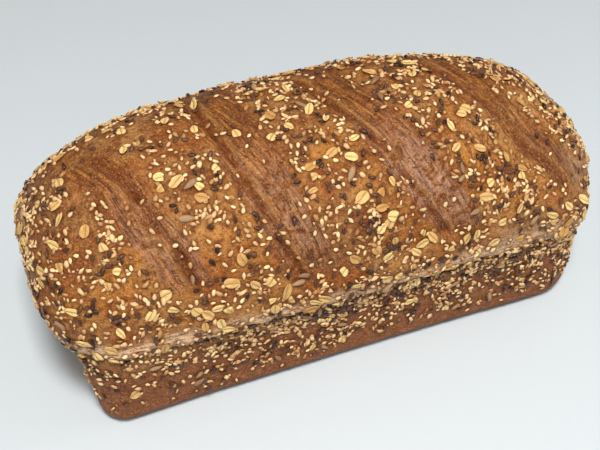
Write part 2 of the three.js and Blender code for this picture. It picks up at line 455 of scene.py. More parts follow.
# %% Cut the slashes
for slash in SLASHES:
    run = smooth(0, SLASH_FADE, np.minimum(turn - slash["back"], slash["front"] - turn)) * on_dome
    path = slash["x"] + slash["drift"] * turn + slash["curve"] * turn ** 2
    off = across_mm - path + wander
    left_edge = smooth(-slash["left"] - SLASH_EDGE, -slash["left"] + SLASH_EDGE, off)
    band = left_edge * smooth(slash["right"] + SLASH_EDGE, slash["right"] - SLASH_EDGE, off)
    side = 1 if slash["right"] > slash["left"] else -1
    groove = bump(off, GROOVE_WIDTH) * run * blend(0.35, 1, broken)
    ear = bump(off + EAR_AT * -side, EAR_WIDTH) * run * blend(0.3, 1, broken)
    keep_highest("slash", band * run)
    keep_highest("groove", bump(off - 0.5, slash["red"]) * run * blend(0.3, 1, broken))
    keep_highest("ear", ear)
    # the sheen mask: a painted pinkish highlight colour, and a little less roughness
    keep_highest("sheen", slash["shine"] * band * run * bump(turn - SHINE_AT, SHINE_REACH))
    keep_highest("foot", bump(off - 5, 11) * bump(turn - slash["front"] + FOOT_AT, 13))
    trough = bump(off, SLASH_TROUGH) * run
    relief += -slash["groove"] * groove + EAR_HEIGHT * ear - BAND_DEPTH * band * run - TROUGH_DEPTH * trough
slant = across_mm - 0.42 * turn + 0.8 * wander
streak_places = np.stack([slant, form[:, 1] / MM, form[:, 2] / MM], 1)
streaks = lumps(streak_places, (2.2, 15, 15), 8.0) + 0.6 * lumps(streak_places, (4.5, 12, 12), 2.0)
relief += STREAK_HEIGHT * streaks * slashed["slash"]
print("slashed share of the crust", round(float((slashed["slash"] > 0.5).mean()), 3))

# %% [markdown]
# The rim of the tin leaves a crease all round. Above it the side crust tore as the dome sprang up, and the
# tear shows as a pale fibrous band that folds out a little. At the low end the dough filled the tin's
# corner, so there the ledge under the dome is filled up too.

# %% The lip and the tear above it
FIBRE_HEIGHT, CREASE_DEPTH, FOLD_HEIGHT = 0.4, 1.3, 1.3
FILL_FROM = -16  # millimetres under the rim where the ledge begins to fill up

lip_wave = lumps(form, (26 * MM, 26 * MM, 90 * MM), 5.0) + 0.5 * lumps(form, (9 * MM, 9 * MM, 60 * MM), 5.5)
lip_rise = (form[:, 2] - LIP_HEIGHT) / MM - 1.8 * lip_wave
low_end = smooth(35, 105, across_mm)
torn_top = 8.5 + 3.0 * low_end + 5 * lumps(form, (18 * MM, 18 * MM, 90 * MM), 6.0)
torn = smooth(-1.6, 0.4, lip_rise) * (1 - smooth(torn_top - 4.5, torn_top + 3.5, lip_rise))
crease = bump(lip_rise + 0.6, 1.5)
fold = bump(lip_rise - 3.4, 2.6)
fibres = lumps(form, (11 * MM, 11 * MM, 1.5 * MM), 1.0) + 0.6 * lumps(form, (6 * MM, 6 * MM, 1.0 * MM), 6.0)
relief += FIBRE_HEIGHT * fibres * torn - CREASE_DEPTH * crease * (1 - low_end)
relief += FOLD_HEIGHT * fold * blend(0.4, 1, broken)
filled = smooth(FILL_FROM, -1, (form[:, 2] - LIP_HEIGHT) / MM) * (1 - spread)
relief += blend(0.2, 0.8, low_end) * filled * overhang / MM
print("torn share of the crust", round(float((torn > 0.5).mean()), 3))

# %% [markdown]
# The walls below were pressed against the tin, so they are flat, with small pores where gas met the metal.
# The free crust above is lumpy and finely wrinkled, most of all at the low end.

# %% Dough lumps, wrinkles and pores
# size, shift, height on the walls and height on the free crust
LUMPS = [(46 * MM, 9.0, 0.4, 1.3), (15 * MM, 4.0, 0.15, 0.9)]
PORE_DEPTH = 0.9
END_HOLLOW = 1.7  # the low end sinks in a little under its crown

tin_wall = 1 - smooth(-3, 0.3, lip_rise)
free_crust = 1 - tin_wall
far_end = smooth(112, 132, across_mm) * smooth(46, 60, up_mm) * smooth(105, 88, up_mm)
far_end = np.maximum(far_end, low_end * bump(up_mm - 60, 14))
for grain, shift, on_wall, on_free in LUMPS:
    relief += lumps(form, grain, shift) * blend(on_wall, on_free, free_crust)
wrinkles = lumps(form, 6 * MM, 2.0) + 0.7 * lumps(form, 3.2 * MM, 7.0)
relief += wrinkles * blend(0.12, 0.36, free_crust) * (1 - 0.4 * slashed["slash"]) * (1 + far_end)
pores = np.clip(lumps(form, 3.6 * MM, 12.0) - 0.35, 0, 1)
relief -= PORE_DEPTH * pores * tin_wall
relief -= END_HOLLOW * smooth(118, 140, across_mm) * bump(up_mm - 72, 16)
resting = smooth(0.5, 6, up_mm)  # the base stays flat
skin = push(crust.data, form, relief * MM * resting)
crust_normals = read_vectors(crust.data, "normal")
print("relief from", relief.min().round(2), "to", relief.max().round(2), "mm")

# %% [markdown]
# ## What each vertex remembers
# The colours follow the relief: grooves are dark, stretched dough is smooth, red and touched with a painted
# pinkish sheen, the tear is pale.
# So the same masks are stored on the mesh, where the material can read them. Toast says how brown the crust
# baked, and along the ridge and on the left shoulder it also holds painted shade. Glow says where it is
# orange, pale where it stayed light, and beige and ochre tint the low end and the rim.

# %% Masks for the material
def remember(mesh, name, values):
    attribute = mesh.attributes.new(name, "FLOAT", "POINT")
    attribute.data.foreach_set("value", np.asarray(values, np.float32))


# The left shoulder: almost bare of grains, and darkest, with browner baking and painted shade together.
shoulder = bump(across_mm + 104, 27) * bump(turn + 2, 24)  # almost bare, and baked darkest
far_round = smooth(20, 90, np.abs(turn))
toast = 0.45 + 0.4 * lumps(form, 38 * MM, 14.0) + 0.35 * smooth(0.55, 1, up_the_dome) * far_round
# Darker along the ridge: browner baking with painted shade in it.
toast += 0.3 * smooth(50, 0, np.abs(turn)) * free_crust
toast += 1.4 * shoulder + 0.25 * smooth(-100, -135, across_mm)
glow = smooth(-0.1, 0.4, lumps(form, 20 * MM, 41.0)) * free_crust * (0.45 + 0.55 * bump(lip_rise - 14, 12))
glow = np.maximum(glow, slashed["foot"])
pale = np.clip(0.3 + 0.9 * lumps(form, 26 * MM, 61.0) + 0.35 * bump(lip_rise - 18, 18), 0, 1) * (1 - glow)
pale *= 1 - 0.7 * smooth(-100, -132, across_mm)
MASKS = {
    "slash": slashed["slash"],
    "sheen": slashed["sheen"],
    "slant": slant / 1000,  # in metres
    "groove": slashed["groove"],
    "ear": slashed["ear"],
    "torn": torn,
    "tin": tin_wall,
    "toast": toast,
    "glow": glow,
    "pale": pale,
    "beige": far_end,
    "ochre": smooth(-18, -3, lip_rise) * tin_wall,
}
for name, values in MASKS.items():
    remember(crust.data, name, values)
print("masks:", list(MASKS))

# %% [markdown]
# ## Materials
# Crust and grains are painted with nodes, which a few short helpers add and link. A value given to a helper
# may be a number, a colour or a socket of another node.

# %% Node helpers
def plug(tree, socket, value):
    """Links a socket to the input, or sets the input to a plain value."""
    if isinstance(value, bpy.types.NodeSocket):
        tree.links.new(value, socket)
    else:
        socket.default_value = value


def add_node(tree, kind, inputs=None, **settings):
    """Adds a node. inputs gives its values by name or number."""
    made = tree.nodes.new(kind)
    for key, value in settings.items():
        setattr(made, key, value)
    for key, value in (inputs or {}).items():
        plug(tree, made.inputs[key], value)
    return made


def maths(tree, operation, a, b=0.0, clamp=False):
    return add_node(tree, "ShaderNodeMath", {0: a, 1: b}, operation=operation, use_clamp=clamp).outputs[0]


def times(tree, a, b):
    return maths(tree, "MULTIPLY", a, b)


def mix(tree, share, a, b):
    """The colour a where share is 0, and b where it is 1."""
    made = add_node(tree, "ShaderNodeMix", {}, data_type="RGBA", clamp_factor=True)
    for key, value in (("Factor", share), ("A", a), ("B", b)):
        plug(tree, [socket for socket in made.inputs if socket.name == key and socket.enabled][0], value)
    return [socket for socket in made.outputs if socket.enabled][0]


def coats(tree, colour, *layers):
    """Lays colours over the first one. Each layer is a colour, the mask it follows, and its strength."""
    for over, mask, strength in layers:
        colour = mix(tree, times(tree, mask, strength), colour, over)
    return colour


def stored(tree, name):
    return add_node(tree, "ShaderNodeAttribute", {}, attribute_name=name).outputs["Fac"]


def ramp(tree, value, low, high):
    """0 at low, 1 at high, and smooth between. low may be the larger one."""
    made = add_node(tree, "ShaderNodeMapRange", {"Value": value, "From Min": low, "From Max": high},
                    interpolation_type="SMOOTHSTEP")
    return made.outputs["Result"]


def object_place(tree):
    return add_node(tree, "ShaderNodeTexCoord").outputs["Object"]


# %% [markdown]
# An effect that is used more than once is built once as a node group with named inputs. It puts out plain
# values, and each material places it with values of its own.

# %% Making node groups
def new_group(name, inputs, outputs):
    tree = bpy.data.node_groups.new(name, "ShaderNodeTree")
    for label, default in inputs.items():
        socket = tree.interface.new_socket(label, in_out="INPUT", socket_type="NodeSocketFloat")
        socket.default_value = default
    for label in outputs:
        tree.interface.new_socket(label, in_out="OUTPUT", socket_type="NodeSocketFloat")
    return tree, tree.nodes.new("NodeGroupInput").outputs, tree.nodes.new("NodeGroupOutput").inputs


def use_group(tree, group, **values):
    made = tree.nodes.new("ShaderNodeGroup")
    made.node_tree = group
    for label, value in values.items():
        made.inputs[label].default_value = value
    return made.outputs


# %% [markdown]
# Crust never browns evenly. Baked mottle is noise drawn apart into soft blotches with finer ones inside,
# and crust and grains both use it.

# %% Baked mottle
def build_mottle():
    tree, given, result = new_group("baked_mottle", {"Patches": 60.0, "Sharpness": 0.5}, ["Value"])
    blotch = add_node(tree, "ShaderNodeTexNoise", {"Vector": object_place(tree), "Scale": given["Patches"],
                                                   "Detail": 5.0, "Roughness": 0.62}).outputs["Fac"]
    half = times(tree, given["Sharpness"], 0.5)
    value = ramp(tree, blotch, maths(tree, "SUBTRACT", 0.5, half), maths(tree, "ADD", 0.5, half))
    tree.links.new(value, result["Value"])
    return tree


mottle_group = build_mottle()
print("shared effect:", mottle_group.name)

# %% [markdown]
# Wholemeal flour holds bits of bran. Bran flecks are the cells of a Voronoi pattern, each with one speck or
# none, and noise bends the specks so that none is round.

# %% Bran flecks
def build_flecks():
    tree, given, result = new_group("bran_flecks", {"Count": 700.0, "Share": 0.35}, ["Mask"])
    place = object_place(tree)
    warp = add_node(tree, "ShaderNodeTexNoise", {"Vector": place, "Scale": 900.0, "Detail": 1.0})
    bent = add_node(tree, "ShaderNodeVectorMath", {0: warp.outputs["Color"], 1: (0.0016, 0.0016, 0.0016)},
                    operation="MULTIPLY")
    moved = add_node(tree, "ShaderNodeVectorMath", {0: place, 1: bent.outputs[0]}, operation="ADD")
    cells = add_node(tree, "ShaderNodeTexVoronoi", {"Vector": moved.outputs[0], "Scale": given["Count"]})
    pick = add_node(tree, "ShaderNodeSeparateColor", {"Color": cells.outputs["Color"]}).outputs["Red"]
    chosen = maths(tree, "LESS_THAN", pick, given["Share"])
    speck = ramp(tree, cells.outputs["Distance"], 0.38, 0.18)
    tree.links.new(times(tree, speck, chosen), result["Mask"])
    return tree


fleck_group = build_flecks()
print("shared effect:", fleck_group.name)

# %% [markdown]
# Blisters and pits could be modelled, but would take far too many faces. Crust grain is a height for bump
# instead: fine noise, less a pit in nearly every second cell of a Voronoi pattern.

# %% Crust grain
def build_grain():
    tree, given, result = new_group("crust_grain", {"Grain": 900.0, "Pits": 420.0}, ["Height"])
    place = object_place(tree)
    fine = add_node(tree, "ShaderNodeTexNoise", {"Vector": place, "Scale": given["Grain"],
                                                 "Detail": 4.0, "Roughness": 0.65})
    cells = add_node(tree, "ShaderNodeTexVoronoi", {"Vector": place, "Scale": given["Pits"]})
    pick = add_node(tree, "ShaderNodeSeparateColor", {"Color": cells.outputs["Color"]}).outputs["Green"]
    pit = times(tree, ramp(tree, cells.outputs["Distance"], 0.34, 0.12), maths(tree, "LESS_THAN", pick, 0.45))
    height = maths(tree, "SUBTRACT", fine.outputs["Fac"], times(tree, pit, 0.6))
    tree.links.new(height, result["Height"])
    return tree


grain_group = build_grain()
print("shared effect:", grain_group.name)

# %% [markdown]
# ## The crust's finish
# Crust browns from golden to chestnut. The dough inside the slashes came to the heat late and is redder,
# with a painted highlight, a dull pinkish sheen, the tear above the rim is pale, and the walls are a duller
# brown, ochre near the rim.

# %% Colours of the crust
GOLDEN = (0.465, 0.159, 0.009, 1)
TAN = (0.50, 0.240, 0.069, 1)
BROWN = (0.19, 0.048, 0.004, 1)
CHESTNUT = (0.088, 0.020, 0.003, 1)
RED_BROWN = (0.20, 0.048, 0.006, 1)
ORANGE = (0.31, 0.074, 0.003, 1)
GROOVE_RED = (0.15, 0.029, 0.002, 1)
CRACK = (0.060, 0.013, 0.002, 1)
# a painted highlight colour: the slashes' dull pinkish sheen
PAINTED_SHEEN = (0.45, 0.245, 0.155, 1)
TORN_PALE = (0.70, 0.47, 0.29, 1)
WALL_BROWN = (0.25, 0.080, 0.027, 1)
BRAN_DARK = (0.05, 0.016, 0.006, 1)
BRAN_PALE = (0.66, 0.36, 0.13, 1)
BEIGE = (0.46, 0.27, 0.13, 1)
OCHRE = (0.36, 0.155, 0.045, 1)
CRUST_GLOSS = 0.25
print("golden", GOLDEN[:3], "to chestnut", CHESTNUT[:3])

# %% [markdown]
# The patterns are noise at several scales. Two are drawn out: the streaks along the slashes, by the slant
# that the vertices remember, and the fibres along the lip, by squeezing the noise lengthwise. Where one of
# the streaks passes its middle value there is a thin crack.

# %% Patterns of the crust
def streaks_along_slash(tree, per_metre, detail):
    """Noise drawn out along the slashes. Its first direction runs across them, the others are squeezed."""
    parts = add_node(tree, "ShaderNodeSeparateXYZ", {"Vector": object_place(tree)}).outputs
    drawn = add_node(tree, "ShaderNodeCombineXYZ", {
        "X": stored(tree, "slant"), "Y": times(tree, parts["Y"], 0.09),
        "Z": times(tree, parts["Z"], 0.09)}).outputs[0]
    return add_node(tree, "ShaderNodeTexNoise", {"Vector": drawn, "Scale": per_metre,
                                                 "Detail": detail, "Roughness": 0.7}).outputs["Fac"]


def fibres_along_lip(tree):
    drawn = add_node(tree, "ShaderNodeMapping", {"Vector": object_place(tree), "Scale": (0.14, 0.14, 1)})
    return add_node(tree, "ShaderNodeTexNoise", {"Vector": drawn.outputs[0], "Scale": 800.0,
                                                 "Detail": 3.0, "Roughness": 0.6}).outputs["Fac"]


def crust_noise(tree, per_metre, distortion, detail=4.0):
    return add_node(tree, "ShaderNodeTexNoise", {
        "Vector": object_place(tree), "Scale": per_metre, "Detail": detail, "Roughness": 0.62,
        "Distortion": distortion}).outputs["Fac"]


def crust_patterns(tree):
    medium = crust_noise(tree, 150.0, 1.2)
    split = maths(tree, "ABSOLUTE", maths(tree, "SUBTRACT", streaks_along_slash(tree, 300.0, 2.5), 0.5))
    crack = times(tree, ramp(tree, split, 0.030, 0.006), stored(tree, "slash"))
    return {
        "wide": use_group(tree, mottle_group, Patches=42.0, Sharpness=0.5)["Value"],
        "narrow": use_group(tree, mottle_group, Patches=150.0, Sharpness=0.4)["Value"],
        "medium": medium,
        "fine": crust_noise(tree, 380.0, 0.5),
        "finest": crust_noise(tree, 1150.0, 0.6, 2.0),
        "streak": streaks_along_slash(tree, 620.0, 4.0),
        "crack": times(tree, crack, ramp(tree, medium, 0.42, 0.58)),
        "fibre": fibres_along_lip(tree),
    }


# %% [markdown]
# The colour is laid on in coats, as a painter would. First comes how brown the crust baked, with tan and
# orange patches, and the duller walls, ochre under the rim.

# %% Coats of the crust and the walls
def baked_colour(tree, pattern):
    """The free crust, from golden to chestnut."""
    medium = pattern["medium"]
    toasted = maths(tree, "ADD", stored(tree, "toast"), times(tree, pattern["wide"], 0.8))
    toasted = maths(tree, "SUBTRACT", toasted, 0.4)
    veil = times(tree, maths(tree, "SUBTRACT", 1.0, pattern["wide"]), pattern["narrow"])
    colour = mix(tree, ramp(tree, toasted, 0.15, 0.8), GOLDEN, BROWN)
    return coats(tree, colour,
                 (CHESTNUT, ramp(tree, toasted, 0.7, 1.3), 0.8),
                 (TAN, veil, 0.6),
                 (TAN, stored(tree, "pale"), 0.65),
                 (BROWN, ramp(tree, medium, 0.51, 0.37), 0.95),
                 (TAN, ramp(tree, medium, 0.53, 0.66), 0.6),
                 (ORANGE, stored(tree, "glow"), 0.95))


def wall_colour(tree, pattern):
    return coats(tree, WALL_BROWN, (BROWN, pattern["narrow"], 0.6), (OCHRE, stored(tree, "ochre"), 0.7))


# %% [markdown]
# Dough that stretched in a slash is red brown. Its coats follow the streaks, some paler and some darker,
# and a painted highlight, a dull pinkish sheen, lies halfway down the dome.

# %% Coats of the slashes
def slash_colour(tree, pattern):
    streak, medium = pattern["streak"], pattern["medium"]
    # painted sheen: patches of pinkish highlight colour where the sheen mask is
    shine = times(tree, stored(tree, "sheen"), ramp(tree, medium, 0.36, 0.56))
    return coats(tree, RED_BROWN,
                 (GOLDEN, ramp(tree, streak, 0.48, 0.62), 0.75),
                 (TAN, ramp(tree, streak, 0.58, 0.68), 0.65),
                 (CHESTNUT, ramp(tree, streak, 0.48, 0.40), 0.9),
                 (CHESTNUT, ramp(tree, medium, 0.50, 0.36), 0.6),
                 # the painted pinkish sheen
                 (PAINTED_SHEEN, shine, 0.62))


# %% [markdown]
# Over all of it lie fine dark and light sides, bran, and painted shade in the nooks beside the grains. The
# slashes stay calmer, since their dough is smooth.

# %% Fine speckle, bran and painted shade beside the grains
def speckled(tree, pattern, colour):
    fine, finest = pattern["fine"], pattern["finest"]
    calm = maths(tree, "SUBTRACT", 1.0, times(tree, stored(tree, "slash"), 0.65))
    dark_side = times(tree, ramp(tree, fine, 0.48, 0.30), calm)
    light_side = times(tree, ramp(tree, fine, 0.53, 0.70), times(tree, calm, 0.5))
    colour = mix(tree, dark_side, colour, mix(tree, 0.5, colour, CHESTNUT))
    colour = mix(tree, light_side, colour, TAN)
    dark_bran = use_group(tree, fleck_group, Count=480.0, Share=0.20)["Mask"]
    pale_bran = use_group(tree, fleck_group, Count=700.0, Share=0.22)["Mask"]
    return coats(tree, colour,
                 (BRAN_DARK, dark_bran, 0.6),
                 (BRAN_PALE, pale_bran, 0.4),
                 (BRAN_PALE, ramp(tree, finest, 0.55, 0.72), 0.5),
                 (CHESTNUT, ramp(tree, finest, 0.46, 0.29), 0.65),
                 # painted shade: the crust is darkened in the nooks beside the grains
                 (CHESTNUT, stored(tree, "painted_grain_shade"), 0.68))


# %% [markdown]
# The coats go on from the widest to the narrowest: walls, slashes with their cracks and grooves, the tear
# above the rim, the low end, and the speckle last.

# %% All the coats together
def crust_colour(tree, pattern):
    colour = mix(tree, stored(tree, "tin"), baked_colour(tree, pattern), wall_colour(tree, pattern))
    tear = mix(tree, ramp(tree, pattern["fibre"], 0.3, 0.52), BROWN, TORN_PALE)
    colour = coats(tree, colour,
                   (slash_colour(tree, pattern), stored(tree, "slash"), 0.9),
                   (CRACK, pattern["crack"], 0.8),
                   (GROOVE_RED, ramp(tree, stored(tree, "groove"), 0.0, 0.85), 0.85),
                   (TAN, stored(tree, "ear"), 0.4),
                   (tear, stored(tree, "torn"), 0.9),
                   (BEIGE, stored(tree, "beige"), ramp(tree, pattern["medium"], 0.30, 0.62)))
    return speckled(tree, pattern, colour)


# %% [markdown]
# Crust is satin on the dome, glossier in the slashes and matt on the walls. Its finest relief is bump:
# grain and pits everywhere, streaks in the slashes, fibres in the tear. The plain solid is hidden, and this
# piece is attached to the root body.

# %% The crust's material
def crust_height(tree, pattern):
    lines = times(tree, pattern["streak"], times(tree, stored(tree, "slash"), 1.8))
    tears = times(tree, pattern["fibre"], times(tree, stored(tree, "torn"), 1.1))
    height = use_group(tree, grain_group, Grain=850.0, Pits=430.0)["Height"]
    height = maths(tree, "ADD", height, maths(tree, "ADD", lines, tears))
    height = maths(tree, "ADD", height, times(tree, pattern["fine"], 2.2))
    return maths(tree, "SUBTRACT", height, times(tree, pattern["crack"], 0.7))


def add_bump(tree, shader, height, strength, distance):
    bumped = add_node(tree, "ShaderNodeBump", {"Height": height, "Strength": strength, "Distance": distance})
    tree.links.new(bumped.outputs["Normal"], shader.inputs["Normal"])


def crust_material():
    material, tree, shader = new_material("baked_crust")
    pattern = crust_patterns(tree)
    tree.links.new(crust_colour(tree, pattern), shader.inputs["Base Color"])
    rough = maths(tree, "ADD", 0.40, times(tree, pattern["narrow"], 0.2))
    rough = maths(tree, "SUBTRACT", rough, times(tree, stored(tree, "sheen"), 0.1))
    rough = maths(tree, "ADD", rough, times(tree, stored(tree, "tin"), 0.2))
    tree.links.new(rough, shader.inputs["Roughness"])
    shader.inputs["Specular IOR Level"].default_value = CRUST_GLOSS
    add_bump(tree, shader, crust_height(tree, pattern), 0.9, 0.0009)
    return material


crust.data.materials.append(crust_material())
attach(crust, "root")
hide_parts("loaf")
print("crust material has", len(crust.data.materials[0].node_tree.nodes), "nodes")

# %% [markdown]
# ## The grains
# Each kind of grain is modelled once or a few times, from a ball pressed into shape, and then copied many
# times over. The copies of a kind are one piece with one mesh, because a loaf's topping is a coating and
# not thousands of things to pick up. A copy is small, so it has only a few dozen faces.

# %% A ball for each grain
def ball(segments, rings, half_size):
    """A ball pressed to that half length, half width and half thickness, lying flat."""
    deselect()
    bpy.ops.mesh.primitive_uv_sphere_add(segments=segments, ring_count=rings, radius=1)
    made = bpy.context.active_object
    bpy.ops.object.mode_set(mode="EDIT")
    bpy.ops.mesh.select_all(action="SELECT")
    bpy.ops.transform.resize(value=half_size)
    bpy.ops.object.mode_set(mode="OBJECT")
    return made


def take_shape(made, mark):
    """Reads a finished master as plain arrays and removes its object. mark is 0 to 1 for each vertex."""
    places = read_vectors(made.data)
    shape = {"places": places, "faces": faces_in_order(made.data), "mark": np.asarray(mark),
             "along": places[:, 0] / np.abs(places[:, 0]).max(),
             "across": places[:, 1] / np.abs(places[:, 1]).max()}
    bpy.data.objects.remove(made)
    return shape


# %% [markdown]
# A rolled oat is an oval flake with a crease down its middle, a wavy edge and a slight cup. Linseed, sesame
# and sunflower kernels are all drops: flat, and narrower towards one end. Broken grain is a small uneven
# lump with a few flat sides, so it starts from a ball of only twenty faces.

# %% Shapes of the grains
def oat_flake(seed, half_long, half_wide, cut):
    """cut breaks off one end, from 1 for a whole flake to 0 for half of one."""
    random = np.random.default_rng(seed)
    made = ball(14, 8, (half_long * MM, half_wide * MM, 0.65 * MM))
    p = read_vectors(made.data) / MM
    angle = np.arctan2(p[:, 1], p[:, 0])
    out = np.hypot(p[:, 0] / half_long, p[:, 1] / half_wide)
    waves = sum(random.uniform(-0.07, 0.07) * np.sin(k * angle + random.uniform(0, 6)) for k in (2, 3, 4, 5))
    p[:, :2] *= (1 + waves * out)[:, None]
    p[:, 0] = np.minimum(p[:, 0], cut * half_long + 0.25 * p[:, 1])
    crease = bump(p[:, 1] - 0.3 * np.sin(p[:, 0] * 0.6), 0.5) * (np.abs(p[:, 0]) < 0.9 * half_long)
    cup = random.uniform(-0.3, 0.8)
    p[:, 2] += cup * (out ** 2 - 0.4) + 0.22 * np.sin(2 * angle + random.uniform(0, 6)) * out
    p[:, 2] -= 0.3 * crease
    write_places(made.data, p * MM)
    return take_shape(made, np.clip(crease, 0, 1))


def pointed_seed(segments, rings, half_size, point):
    """A seed that narrows towards one end. point is how sharply, from 0 to 1."""
    made = ball(segments, rings, tuple(v * MM for v in half_size))
    p = read_vectors(made.data) / MM
    along = p[:, 0] / half_size[0]
    narrow = 1 - point * 0.5 * (1 + along) ** 1.5 / 1.5
    p[:, 1] *= narrow
    p[:, 2] *= 0.4 + 0.6 * narrow
    write_places(made.data, p * MM)
    return take_shape(made, smooth(0.4, 1.0, along))


def grain_chip(seed):
    random = np.random.default_rng(seed)
    deselect()
    bpy.ops.mesh.primitive_ico_sphere_add(subdivisions=1, radius=1)
    made = bpy.context.active_object
    p = read_vectors(made.data)
    p *= random.uniform(0.6, 1.2, (len(p), 1))
    p *= np.array([random.uniform(1.1, 1.6), random.uniform(0.7, 1.0), random.uniform(0.4, 0.65)])
    write_places(made.data, p * MM)
    return take_shape(made, random.uniform(0, 1, len(p)))


# %% [markdown]
# The table says how each kind is sown. room is the radius that a grain keeps to itself, in millimetres, and
# size the range of its growth. sink and depth say how far a grain is pressed in, as a share of its
# thickness, tilt how unevenly it lies, and crowding how tightly its kind clusters.

# %% The kinds of grain
FLAKES = [(4.0, 2.4, 1), (3.7, 2.6, 1), (4.2, 2.2, 1), (3.4, 2.2, 1), (3.9, 2.6, 0.45), (3.5, 2.4, 0.2)]
FIRST_FLAKE_SEED = 11
CHIP_SEEDS = range(21, 29)
GRAINS = {
    "oat_flakes": {
        "masters": [oat_flake(seed, *flake) for seed, flake in enumerate(FLAKES, FIRST_FLAKE_SEED)],
        "slot": "oat_flake", "count": 410, "room": 2.4, "size": (0.68, 1.02),
        "sink": 0.0, "depth": 0.5, "tilt": 16, "crowding": 0.8},
    "sunflower_kernels": {
        "masters": [pointed_seed(10, 7, (4.0, 1.9, 1.2), 0.75)],
        "slot": "sunflower", "count": 90, "room": 2.5, "size": (0.7, 1.05),
        "sink": 0.1, "depth": 0.8, "tilt": 14, "crowding": 0.8},
    "linseeds": {
        "masters": [pointed_seed(8, 6, (2.05, 1.15, 0.72), 0.5)],
        "slot": "linseed", "count": 1900, "room": 0.8, "size": (0.75, 1.1),
        "sink": 0.0, "depth": 0.9, "tilt": 30, "crowding": 3.6},
    "sesame_seeds": {
        "masters": [pointed_seed(8, 6, (1.4, 0.98, 0.55), 0.5)],
        "slot": "sesame", "count": 2400, "room": 0.8, "size": (0.8, 1.25),
        "sink": 0.1, "depth": 1.1, "tilt": 24, "crowding": 2.0},
    "grain_chips": {
        "masters": [grain_chip(seed) for seed in CHIP_SEEDS],
        "slot": "grain_chip", "count": 4000, "room": 0.62, "size": (0.6, 1.7),
        "sink": 0.1, "depth": 1.0, "tilt": 35, "crowding": 2.0},
}
print("masters:", {name: len(kind["masters"]) for name, kind in GRAINS.items()})

# %% [markdown]
# ## Sowing
# The dough was rolled in the seeds before it went into the tin, so they lie thickest on the shoulders, at
# the ends and along the rim, thin out in the slashes, and stop just above the base. A density for each face
# says so. Painting it by hand would do as well, but a rule keeps it in step with the slashes and the lip.

# %% Where grains may lie
crust.data.calc_loop_triangles()
triangles = np.zeros(len(crust.data.loop_triangles) * 3, np.int64)
crust.data.loop_triangles.foreach_get("vertices", triangles)
triangles = triangles.reshape(-1, 3)
corners = skin[triangles]
areas = np.linalg.norm(np.cross(corners[:, 1] - corners[:, 0], corners[:, 2] - corners[:, 0]), axis=1) / 2

skin_up_mm = skin[:, 2] / MM
patches = lumps(skin, 16 * MM, 21.0)
far_side = smooth(0.0, 0.03, skin[:, 1]) * free_crust
ends = smooth(0.55, 0.95, np.abs(skin[:, 0]) / 0.14)
bare_up_to = 13 + 4 * smooth(-90, -135, across_mm) + 6 * lumps(skin, (30 * MM, 30 * MM, 90 * MM), 33.0)
seedy = 0.6 + 0.2 * ends + (1.5 + 0.6 * low_end) * bump(lip_rise + 6, 10) + 0.5 * far_side
seedy *= np.exp(1.1 * patches) * (1 - 0.9 * slashed["slash"]) * (1 - 0.5 * torn) * (1 - 0.85 * shoulder)
seedy *= smooth(bare_up_to - 3, bare_up_to + 5, skin_up_mm)
seedy *= 1 - 0.7 * tin_wall * smooth(-50, -110, across_mm)


def density_for(kind, number):
    """A kind's own clusters on the shared patches. Oats keep to the free crust, and chips are fewer there."""
    clusters = lumps(skin, 6.5 * MM, 50.0 + 7 * number)
    wanted = seedy * np.exp(kind["crowding"] * clusters)
    if kind["slot"] == "oat_flake":
        wanted = wanted * (0.4 + 2.1 * free_crust) + 0.6 * free_crust * (1 - slashed["slash"])
    if kind["slot"] == "grain_chip":
        wanted = wanted * (0.75 - 0.15 * free_crust)
    return wanted[triangles].mean(1) * areas


print("crust area", round(float(areas.sum()) * 1e4), "square centimetres")

# %% [markdown]
# Points are drawn on the crust by that density, and one that would lie on a grain already sown is skipped.
# To find neighbours quickly, the sown grains are kept by the cell of space they lie in, and only near cells
# are searched.

# %% Drawing free places
CELL = 4 * MM
NEAR = (-2, -1, 0, 1, 2)
OVERLAP = 0.85  # grains may touch and overlap this much
TRIES = 3  # places drawn for each grain wanted
taken = {}


def is_free(place, room):
    """True if no grain sown so far is too near, and then the place is taken."""
    home = tuple((place // CELL).astype(int))
    for dx in NEAR:
        for dy in NEAR:
            for dz in NEAR:
                for other, other_room in taken.get((home[0] + dx, home[1] + dy, home[2] + dz), ()):
                    away = other - place
                    reach = room + other_room
                    if np.abs(away).max() < reach and (away ** 2).sum() < (OVERLAP * reach) ** 2:
                        return False
    taken.setdefault(home, []).append((place, room))
    return True


def sow(count, room, density):
    chosen = rng.choice(len(triangles), size=count * TRIES, p=density / density.sum())
    places, normals = [], []
    for face in chosen:
        a, b = rng.random(2)
        if a + b > 1:
            a, b = 1 - a, 1 - b
        weights = np.array([1 - a - b, a, b])
        place = weights @ corners[face]
        if is_free(place, room * MM):
            normal = weights @ crust_normals[triangles[face]]
            places.append(place)
            normals.append(normal / np.linalg.norm(normal))
        if len(places) == count:
            break
    return np.array(places), np.array(normals)


# %% [markdown]
# Each copy is laid flat on the crust, spun at random, tilted a little and pressed in. It remembers its own
# tint, and where along and across the grain each vertex lies, so that one material can make every grain
# different.

# %% Laying the copies
def turned_frames(normals, tilt):
    """Three axes for each grain: its length, its width and its upright."""
    uprights = normals + rng.normal(0, math.tan(math.radians(tilt)) / 2, normals.shape)
    uprights /= np.linalg.norm(uprights, axis=1)[:, None]
    lengths = np.cross(uprights, rng.normal(0, 1, normals.shape))
    lengths /= np.linalg.norm(lengths, axis=1)[:, None]
    return np.stack([lengths, np.cross(uprights, lengths), uprights], 2)


